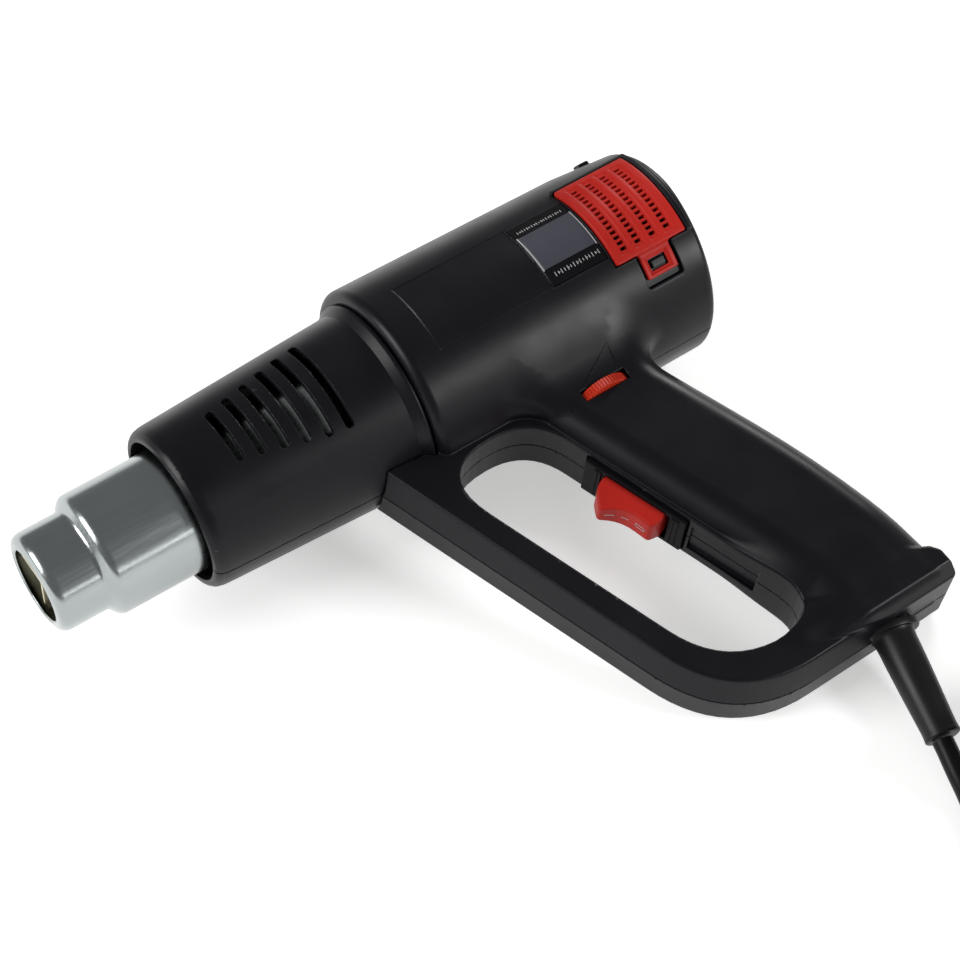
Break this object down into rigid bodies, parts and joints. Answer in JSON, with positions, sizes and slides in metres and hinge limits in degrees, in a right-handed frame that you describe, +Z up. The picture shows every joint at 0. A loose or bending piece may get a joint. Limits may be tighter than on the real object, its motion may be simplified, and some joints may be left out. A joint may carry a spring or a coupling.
{
  "type": "heat gun",
  "caption": "Pistol-grip heat gun with a guarded handle, slotted heat shield, hinged intake cover, rocker switch and temperature wheel, lying on its side with its mains cord coiled.",
  "frame": {"origin": "under the middle of the gun, on the surface that it lies on, measured without the cord", "axes": "+X from the nozzle back along the barrel, +Y from the handle towards the barrel, +Z up; the gun lies on its right side"},
  "size_m": [0.3221, 0.3429, 0.0769],
  "materials": {
    "black_plastic": "satin",
    "dark_plastic": "satin",
    "red_plastic": "glossy",
    "orange_plastic": "satin",
    "grey_plastic": "satin",
    "cream_plastic": "satin",
    "nozzle_steel": "polished",
    "steel": "satin",
    "screw_steel": "satin",
    "mica": "matt",
    "resistance_wire": "satin",
    "copper": "satin",
    "magnet": "matt",
    "circuit_board": "satin",
    "aluminium": "satin",
    "filter_foam": "matt",
    "black_rubber": "satin",
    "cord_sheath": "satin"
  },
  "bodies": {
    "body": {"left_housing": "black_plastic", "right_housing": "black_plastic", "left_heat_shield": "black_plastic", "right_heat_shield": "black_plastic", "fan_duct": "dark_plastic", "rectifier_diode_1": "dark_plastic", "rectifier_diode_2": "dark_plastic", "rectifier_diode_3": "dark_plastic", "rectifier_diode_4": "dark_plastic", "switch_body": "dark_plastic", "switch_bezel": "dark_plastic", "potentiometer": "dark_plastic", "triac": "dark_plastic", "data_plate": "grey_plastic", "filter_capacitor": "grey_plastic", "cord_clamp": "grey_plastic", "motor_end_cap": "cream_plastic", "terminal_block": "cream_plastic", "nozzle_tube": "nozzle_steel", "motor_can": "steel", "plug_pin_1": "steel", "plug_pin_2": "steel", "housing_screw_1": "screw_steel", "housing_screw_2": "screw_steel", "housing_screw_3": "screw_steel", "housing_screw_4": "screw_steel", "housing_screw_5": "screw_steel", "housing_screw_6": "screw_steel", "housing_screw_7": "screw_steel", "clamp_screw_1": "screw_steel", "clamp_screw_2": "screw_steel", "thermal_cutoff": "screw_steel", "mica_sleeve": "mica", "element_core": "mica", "element_end_disc": "mica", "heating_coil": "resistance_wire", "live_lead": "copper", "motor_magnet_left": "magnet", "motor_magnet_right": "magnet", "rectifier_board": "circuit_board", "control_board": "circuit_board", "triac_heat_sink": "aluminium", "left_dust_filter": "filter_foam", "right_dust_filter": "filter_foam", "cord_boot": "black_rubber", "plug_body": "black_rubber", "coil_tie": "black_rubber", "power_cord": "cord_sheath", "power_cord_coil": "cord_sheath", "power_cord_end": "cord_sheath", "cord_tail": "cord_sheath", "neutral_lead": "cord_sheath"},
    "rotor": {"motor_rotor": "copper", "fan_impeller": "dark_plastic"},
    "rocker": {"rocker_button": "red_plastic"},
    "wheel": {"temperature_wheel": "orange_plastic"},
    "cover": {"intake_cover": "red_plastic"}
  },
  "joints": [
    {"name": "fan_spin", "type": "hinge", "parent": "body", "child": "rotor", "pos_m": [0.0503, 0.08047, 0.03775], "axis": [1, 0, 0], "continuous": true},
    {"name": "switch_rock", "type": "hinge", "parent": "body", "child": "rocker", "pos_m": [0.0561, 0.00183, 0.02643], "axis": [0, 0.1425, -0.9898], "range_deg": [0, 24]},
    {"name": "temperature_turn", "type": "hinge", "parent": "body", "child": "wheel", "pos_m": [0.0653, 0.0347, 0.03985], "axis": [0, 0.9898, 0.1425], "range_deg": [-135, 135]},
    {"name": "cover_swing", "type": "hinge", "parent": "body", "child": "cover", "pos_m": [0.1033, 0.09436, 0.0743], "axis": [-1, 0, 0], "range_deg": [0, 70]}
  ]
}
